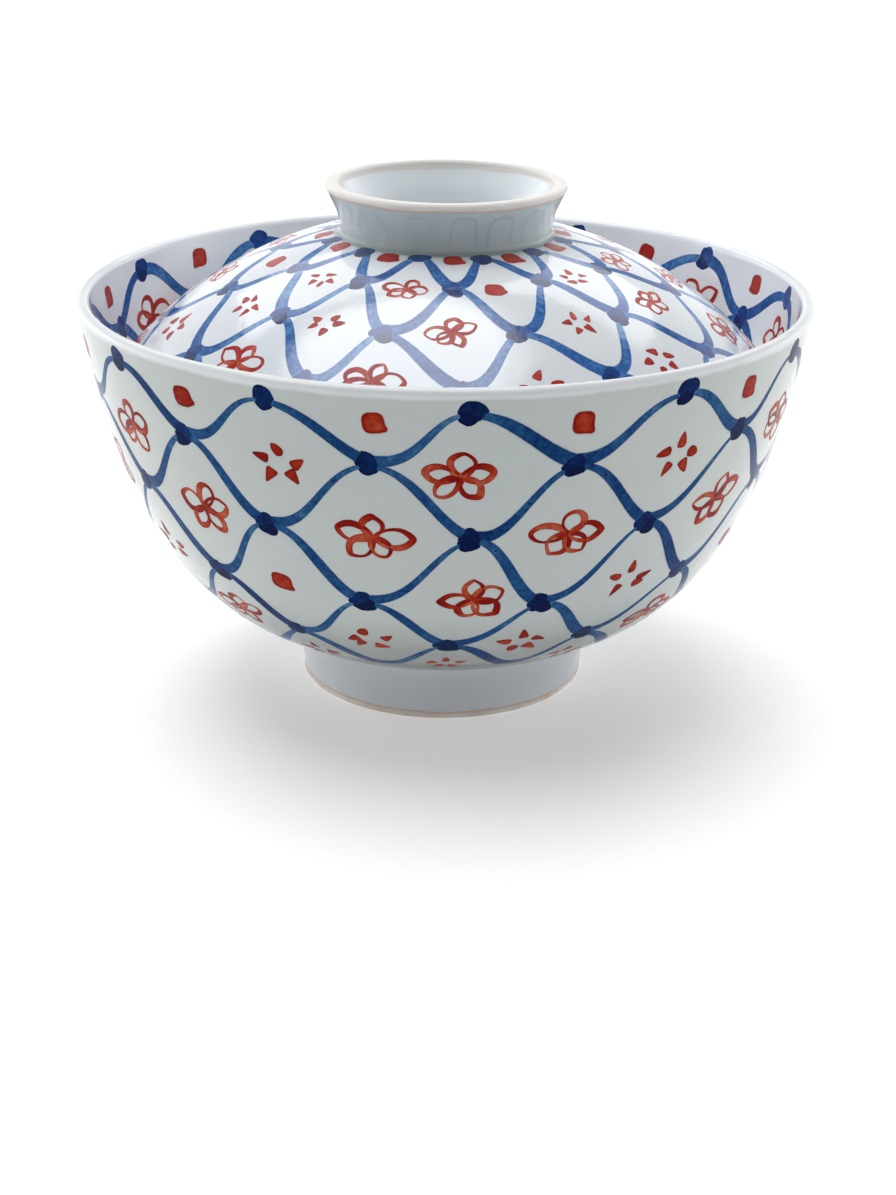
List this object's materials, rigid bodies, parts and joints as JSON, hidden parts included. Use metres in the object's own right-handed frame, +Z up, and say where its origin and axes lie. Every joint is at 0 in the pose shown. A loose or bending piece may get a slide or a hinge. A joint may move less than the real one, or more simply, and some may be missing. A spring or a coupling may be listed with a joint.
{
  "type": "lidded rice bowl",
  "caption": "Footed round porcelain bowl with a domed lid that sits down inside its rim; the lid's grip ring doubles as its stand when it is turned over.",
  "frame": {"origin": "centre of the foot ring's flat standing face", "axes": "+Z straight up along the bowl's axis of revolution, from the foot to the lid's grip ring; X and Y lie in the table plane"},
  "size_m": [0.15, 0.15, 0.1055],
  "materials": {
    "bowl_glaze": "glossy bluish-white glaze painted with a cobalt net and iron-red flowers",
    "foot_glaze": "glossy bluish-white glaze with a bare pinkish standing edge",
    "lid_glaze": "glossy bluish-white glaze painted with a cobalt net and iron-red flowers",
    "grip_glaze": "glossy bluish-white glaze with pale blue arches and a bare cream top edge",
    "cobalt_blue": "cobalt brushwork under the clear glaze, glossy",
    "iron_red": "iron-red enamel lines fired on top of the glaze, satin",
    "bare_biscuit": "unglazed porcelain edge, matt, cream to pinkish tan"
  },
  "bodies": {
    "bowl": {"bowl_body": "bowl_glaze", "bowl_foot_ring": "foot_glaze"},
    "lid": {"lid_dome": "lid_glaze", "lid_grip_ring": "grip_glaze"}
  },
  "joints": [
    {"name": "lid_lift", "type": "slide", "parent": "bowl", "child": "lid", "axis": [0, 0, 1], "range_m": [0, 0.06]}
  ]
}
